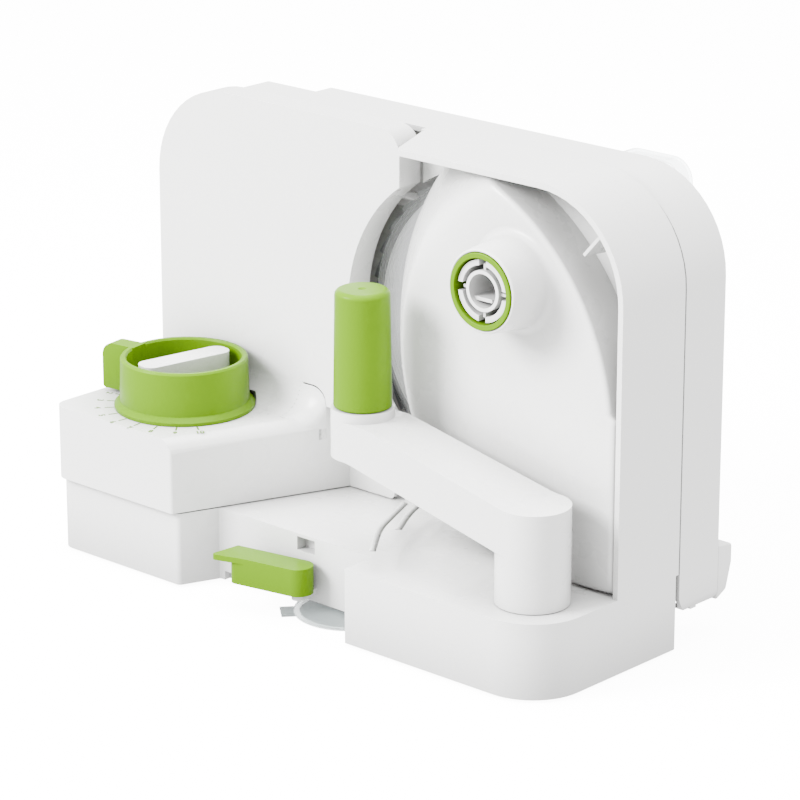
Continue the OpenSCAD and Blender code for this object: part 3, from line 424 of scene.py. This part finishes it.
class SLICER_OT_controls(Operator):
    """Finish the green dial ring, boss ring, grip and lever"""

    bl_idname = "slicer.controls"
    bl_label = "Green controls"

    def execute(self, context):
        dress("dial_ring", 0.8)
        dress("boss_ring", 0.5)
        dress("grip_sleeve", 0.5, angle=50)
        dress("suction_lever", 2.2)
        return {"FINISHED"}


class SLICER_OT_metal(Operator):
    """Finish the blade, axles and screws"""

    bl_idname = "slicer.metal"
    bl_label = "Blade and metal parts"

    def execute(self, context):
        for node, slot in SLOTS.items():
            if slot in ("steel", "blade_steel"):
                dress(node, 0.0)
        return {"FINISHED"}


class SLICER_OT_soft_parts(Operator):
    """Finish the grey, clear and rubber parts"""

    bl_idname = "slicer.soft_parts"
    bl_label = "Grey, clear and rubber parts"

    def execute(self, context):
        for node, slot in SLOTS.items():
            if slot in ("grey_plastic", "foot_rubber"):
                dress(node, 0.0)
            if slot in ("clear_plastic", "clear_rubber"):
                dress(node, 0.5)
        return {"FINISHED"}


class SLICER_OT_guard(Operator):
    """Build the blade guard with its sloping face, boss, crescent floor and rib"""

    bl_idname = "slicer.guard"
    bl_label = "Blade guard"

    def execute(self, context):
        blade = middle("blade")
        drive = middle("drive_gear")
        front = edge("housing", 1, 0)
        back = edge("blade_guard", 1, 1)
        rim_t = 3.2
        inner = edge("housing", 0, 1) - rim_t
        top = edge("housing", 2, 1) - rim_t
        deck = edge("housing", 2, 0) + 0.5
        cone = (blade.x + 76, blade.z - 1, 106.0, 0.905)  # axis, radius at the front plane, run per depth
        bow = (blade.x - 18.7, blade.z - 24.3, 127.4)  # centre and radius of the guard's right edge
        slot_z = 133.0  # lower end of the crescent
        corner_r = 51.0

        def depth(x, z):
            """How far the face lies behind the front plane at a place."""
            over = (math.hypot(x - cone[0], z - cone[1]) - cone[2]) / cone[3]
            soft = 3.0
            return soft * math.log(1 + math.exp(over / soft)) if over < 60 else over

        def inside(x, z):
            if z < deck or z > top or x > inner:
                return False
            if depth(x, z) > back - front - 0.2:
                return False
            if x > inner - corner_r and z > top - corner_r:
                if math.hypot(x - inner + corner_r, z - top + corner_r) > corner_r:
                    return False
            in_bow = math.hypot(x - bow[0], z - bow[1]) < bow[2]
            return in_bow or z < slot_z

        heart = (250.0, 130.0)
        steps = 220
        rings = 34
        rim = []
        for i in range(steps):
            angle = 2 * math.pi * i / steps
            low, high = 0.0, 200.0
            for _ in range(30):
                half = (low + high) / 2
                if inside(heart[0] + half * math.cos(angle), heart[1] + half * math.sin(angle)):
                    low = half
                else:
                    high = half
            rim.append((angle, low))
        verts = [at(heart[0], front + depth(*heart), heart[1])]
        faces = []
        edge_r = 1.6  # rounding along the guard's rim
        for ring in range(1, rings + 1):
            share = (ring / rings) ** 0.8
            for angle, reach in rim:
                distance = share * reach
                x = heart[0] + distance * math.cos(angle)
                z = heart[1] + distance * math.sin(angle)
                margin = min(edge_r, reach - distance)
                turn = edge_r - math.sqrt(max(0.0, edge_r**2 - (edge_r - margin) ** 2))
                verts.append(at(x, min(front + depth(x, z) + turn, back), z))
        for i in range(steps):
            faces.append((0, 1 + i, 1 + (i + 1) % steps))
        for ring in range(1, rings):
            a = 1 + (ring - 1) * steps
            b = 1 + ring * steps
            for i in range(steps):
                j = (i + 1) % steps
                faces.append((a + i, b + i, b + j, a + j))
        last = 1 + (rings - 1) * steps
        start = len(verts)
        for angle, reach in rim:
            verts.append(at(heart[0] + reach * math.cos(angle), back, heart[1] + reach * math.sin(angle)))
        for i in range(steps):
            j = (i + 1) % steps
            faces.append((last + i, start + i, start + j, last + j))
        face = solid("guard_face", verts, faces, "white_plastic", "base")

        boss_front = edge("blade_guard", 1, 0)
        profile = [(19.5, front - 3), (19.5, boss_front + 0.6), (19.9, boss_front + 0.1), (20.3, boss_front)]
        for i in range(1, 5):
            turn = math.radians(90 * i / 4)
            profile.append((20.1 + 1.2 * math.sin(turn), boss_front + 1.2 - 1.2 * math.cos(turn)))
        for i in range(7):
            turn = math.radians(90 * i / 6)
            profile.append((23.4 + 4.0 * (1 - math.cos(turn)), front - 4.0 + 4.0 * math.sin(turn)))
        boss = solid("guard_boss", *lathe_y(profile, drive.x, drive.z), "white_plastic", "base")

        # floor of the crescent, behind the bow and inside the rim
        floor_y = front + 25.0
        outline = []
        inner_line = []
        for i in range(41):
            z = slot_z + (top - slot_z) * i / 40
            reach = bow[2] ** 2 - (z - bow[1]) ** 2
            inner_line.append((bow[0] + math.sqrt(max(0.0, reach)) - 1.5, z))
            rise = max(0.0, z - (top - corner_r))
            outline.append((inner - corner_r + math.sqrt(max(0.0, corner_r**2 - rise**2)), z))
        verts = [at(x, floor_y, z) for x, z in inner_line] + [at(max(x, inner_line[k][0]), floor_y, z)
                                                             for k, (x, z) in enumerate(outline)]
        faces = [(k, k + 1, 41 + k + 1, 41 + k) for k in range(40)]
        under = solid("guard_floor", verts, faces, "white_plastic", "base")

        direction = Vector((math.cos(math.radians(48)), math.sin(math.radians(48))))
        root = Vector((drive.x + 39.0, drive.z + 18.0))
        tip = root + direction * 17.5
        side = Vector((-direction.y, direction.x)) * 0.9
        verts = []
        for y in (front + 3.0, floor_y + 0.5):
            start_at = root if y > front + 10 else root + direction * 3.0
            for point in (start_at - side, tip - side, tip + side, start_at + side):
                verts.append(at(point.x, y, point.y))
        faces = [(0, 1, 2, 3), (4, 5, 6, 7), (0, 1, 5, 4), (1, 2, 6, 5), (2, 3, 7, 6), (3, 0, 4, 7)]
        rib = solid("guard_rib", verts, faces, "white_plastic", "base", bevel=0.3)
        for piece in (face, boss, under, rib):
            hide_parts("blade_guard")
        return {"FINISHED"}


class SLICER_OT_sweep(Operator):
    """Carry the fence's sweep over the rounded edge of the dial box"""

    bl_idname = "slicer.sweep"
    bl_label = "Fence sweep"

    def execute(self, context):
        front = edge("fence_face", 1, 1) - FENCE_T
        lean = math.cos(math.atan(BOX_SLANT))
        across_steps = 20
        along_steps = 16
        skin = []
        foot = []
        for j in range(along_steps + 1):
            turn = math.radians(90 * j / along_steps)
            y = front - SWEEP_R + SWEEP_R * math.sin(turn)
            rise = SWEEP_R - SWEEP_R * math.cos(turn)
            side = BOX_FRONT_W + BOX_SLANT * y
            for i in range(across_steps + 1):
                x = SWEEP_LEFT + (side - SWEEP_LEFT) * i / across_steps
                near = min(BOX_EDGE_R, (side - x) * lean)
                drop = BOX_EDGE_R - math.sqrt(BOX_EDGE_R**2 - (BOX_EDGE_R - near) ** 2)
                skin.append(at(x, y, BOX_TOP + rise - drop + 0.02))
                foot.append(at(x, y, SWEEP_FOOT))
        row = across_steps + 1
        count = len(skin)
        faces = []
        for j in range(along_steps):
            for i in range(across_steps):
                a = j * row + i
                faces.append((a, a + 1, a + row + 1, a + row))
                faces.append((count + a, count + a + row, count + a + row + 1, count + a + 1))
        for i in range(across_steps):
            for a in (i, along_steps * row + i):
                faces.append((a, a + 1, count + a + 1, count + a))
        for j in range(along_steps):
            for a in (j * row, j * row + across_steps):
                faces.append((a, a + row, count + a + row, count + a))
        solid("fence_sweep", skin + foot, faces, "white_plastic", "fence")
        return {"FINISHED"}


class SLICER_OT_deck(Operator):
    """Lay the two faint curved steps on the deck, between fence and crank"""

    bl_idname = "slicer.deck"
    bl_label = "Deck steps"

    def execute(self, context):
        deck = edge("base_shell", 2, 1)
        lines = (
            ((223.6, 4.9), (206.0, 29.1), (196.8, 48.1), (188.1, 68.3)),
            ((212.2, 36.6), (200.6, 57.6), (191.9, 79.9)),
        )
        for count, corners in enumerate(lines):
            points = [Vector(corner) for corner in corners]
            path = []
            for i in range(len(points) - 1):
                before = points[max(i - 1, 0)]
                after = points[min(i + 2, len(points) - 1)]
                for k in range(9):
                    t = k / 8
                    h00, h10 = 2 * t**3 - 3 * t**2 + 1, t**3 - 2 * t**2 + t
                    path.append(points[i] * h00 + points[i + 1] * (1 - h00)
                                + (points[i + 1] - before) * 0.5 * h10
                                + (after - points[i]) * 0.5 * (t**3 - t**2))
            verts = []
            faces = []
            for i, spot in enumerate(path):
                along = (path[min(i + 1, len(path) - 1)] - path[max(i - 1, 0)]).normalized()
                across = Vector((along.y, -along.x))
                for out, up in ((-0.8, -0.2), (-0.8, 0.42), (-0.2, 0.5), (2.6, -0.2)):
                    verts.append(at(spot.x + across.x * out, spot.y + across.y * out, deck + up))
                if i:
                    for j in range(4):
                        a, b = (i - 1) * 4 + j, (i - 1) * 4 + (j + 1) % 4
                        faces.append((a, b, b + 4, a + 4))
            last = len(verts) - 4
            faces += [(0, 1, 2, 3), (last, last + 1, last + 2, last + 3)]
            solid(f"deck_step_{count + 1}", verts, faces, "white_plastic", "base")
        return {"FINISHED"}


class SLICER_OT_dial_marks(Operator):
    """Print the thickness scale on the fence, round the dial"""

    bl_idname = "slicer.dial_marks"
    bl_label = "Thickness scale"

    def execute(self, context):
        looks = context.scene.slicer_looks
        dial = middle("dial_spindle")
        flange = (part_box("dial_ring")[1][1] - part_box("dial_ring")[0][1]) / 2 / MM
        verts = []
        faces = []
        per_number = 16.1  # degrees
        first = -179.7 - per_number
        for number in range(looks.last_number + 1):
            angle = math.radians(first + per_number * number)
            along = Vector((math.cos(angle), math.sin(angle)))
            across = Vector((-along.y, along.x)) * 0.45
            start = len(verts)
            for radius, side in ((flange + 0.2, -1), (flange + 5.2, -1), (flange + 5.2, 1), (flange + 0.2, 1)):
                spot = along * radius + across * side
                verts.append(at(dial.x + spot.x, dial.y + spot.y, BOX_TOP + 0.08))
            faces.append((start, start + 1, start + 2, start + 3))
        solid("scale_ticks", verts, faces, "green_plastic", "fence", smooth=False)
        for number in range(looks.last_number + 1):
            angle = math.radians(first + per_number * number)
            curve = bpy.data.curves.new(f"scale_{number}", "FONT")
            curve.body = str(number)
            curve.size = looks.digits * MM * 1.35
            curve.align_x = "CENTER"
            curve.align_y = "CENTER"
            curve.extrude = 0.00005
            curve.offset = 0.00009
            piece = bpy.data.objects.new(f"scale_{number}", curve)
            bpy.context.scene.collection.objects.link(piece)
            radius = flange + 9.0
            piece.location = at(dial.x + radius * math.cos(angle), dial.y + radius * math.sin(angle), BOX_TOP + 0.08)
            piece.rotation_euler = (0, 0, angle + math.pi / 2)
            curve.materials.append(finish_of("green_plastic"))
            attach(piece, "fence")
        return {"FINISHED"}


class SLICER_OT_stage(Operator):
    """Set the floor, the lights and the camera"""

    bl_idname = "slicer.stage"
    bl_label = "Floor, lights and camera"

    def execute(self, context):
        stage = context.scene.slicer_stage
        scene = bpy.context.scene
        bpy.ops.mesh.primitive_plane_add(size=8.0, location=(0, 0, 0))
        floor = bpy.context.object
        floor.name = "floor"
        paper = Graph("paper")
        paper.feed("Base Color", paper.mix(paper.noise(3.0), (0.93, 0.93, 0.93, 1), (0.95, 0.95, 0.95, 1)))
        paper.feed("Roughness", 0.9)
        paper.feed("Specular IOR Level", 0.1)
        paper.feed("Emission Color", (1, 1, 1, 1))
        paper.feed("Emission Strength", stage.table_glow)
        floor.data.materials.append(paper.material)
        floor.visible_diffuse = False
        floor.visible_glossy = False

        world = bpy.data.worlds.new("sky")
        scene.world = world
        world.use_nodes = True
        world.node_tree.nodes["Background"].inputs["Color"].default_value = (1, 1, 1, 1)
        world.node_tree.nodes["Background"].inputs["Strength"].default_value = stage.sky

        def soft_light(name, place, size, power):
            light = bpy.data.lights.new(name, "AREA")
            light.size = size
            light.energy = power
            lamp = bpy.data.objects.new(name, light)
            lamp.location = place
            lamp.rotation_euler = (Vector((0, 0, 0.1)) - Vector(place)).to_track_quat("-Z", "Y").to_euler()
            scene.collection.objects.link(lamp)

        soft_light("key", (-1.1, -1.9, 1.5), 1.1, stage.key)
        soft_light("top", (0.1, 0.1, 2.2), 1.6, stage.key * 0.4)

        aim = at(196.2, 56.4, 113.5)
        way = Vector((
            math.sin(stage.azimuth) * math.cos(stage.elevation),
            -math.cos(stage.azimuth) * math.cos(stage.elevation),
            math.sin(stage.elevation),
        ))
        lens = bpy.data.cameras.new("camera")
        lens.lens = stage.lens
        lens.sensor_width = 36.0
        lens.clip_start = 0.05
        camera = bpy.data.objects.new("camera", lens)
        camera.location = aim + way * stage.distance
        camera.rotation_euler = (-way).to_track_quat("-Z", "Y").to_euler()
        scene.collection.objects.link(camera)
        scene.camera = camera
        return {"FINISHED"}


STEPS = (
    SLICER_OT_mouldings, SLICER_OT_controls, SLICER_OT_metal, SLICER_OT_soft_parts, SLICER_OT_guard,
    SLICER_OT_sweep, SLICER_OT_deck, SLICER_OT_dial_marks, SLICER_OT_stage,
)


class SLICER_PT_panel(Panel):
    """Lists the slicer's steps and choices"""

    bl_idname = "SLICER_PT_panel"
    bl_label = "Food slicer"
    bl_space_type = "VIEW_3D"
    bl_region_type = "UI"
    bl_category = "Slicer"

    def draw(self, context):
        for group in (context.scene.slicer_looks, context.scene.slicer_stage):
            box = self.layout.box()
            for name in group.__annotations__:
                box.prop(group, name)
        for step in STEPS:
            self.layout.operator(step.bl_idname)


CLASSES = (SlicerLooks, SlicerStage) + STEPS + (SLICER_PT_panel,)


def register():
    for each in CLASSES:
        bpy.utils.register_class(each)
    bpy.types.Scene.slicer_looks = PointerProperty(type=SlicerLooks)
    bpy.types.Scene.slicer_stage = PointerProperty(type=SlicerStage)


def unregister():
    del bpy.types.Scene.slicer_stage
    del bpy.types.Scene.slicer_looks
    for each in reversed(CLASSES):
        bpy.utils.unregister_class(each)


def main():
    register()
    bpy.ops.slicer.mouldings()
    bpy.ops.slicer.controls()
    bpy.ops.slicer.metal()
    bpy.ops.slicer.soft_parts()
    bpy.ops.slicer.guard()
    bpy.ops.slicer.sweep()
    bpy.ops.slicer.deck()
    bpy.ops.slicer.dial_marks()
    bpy.ops.slicer.stage()


if __name__ == "__main__":
    main()
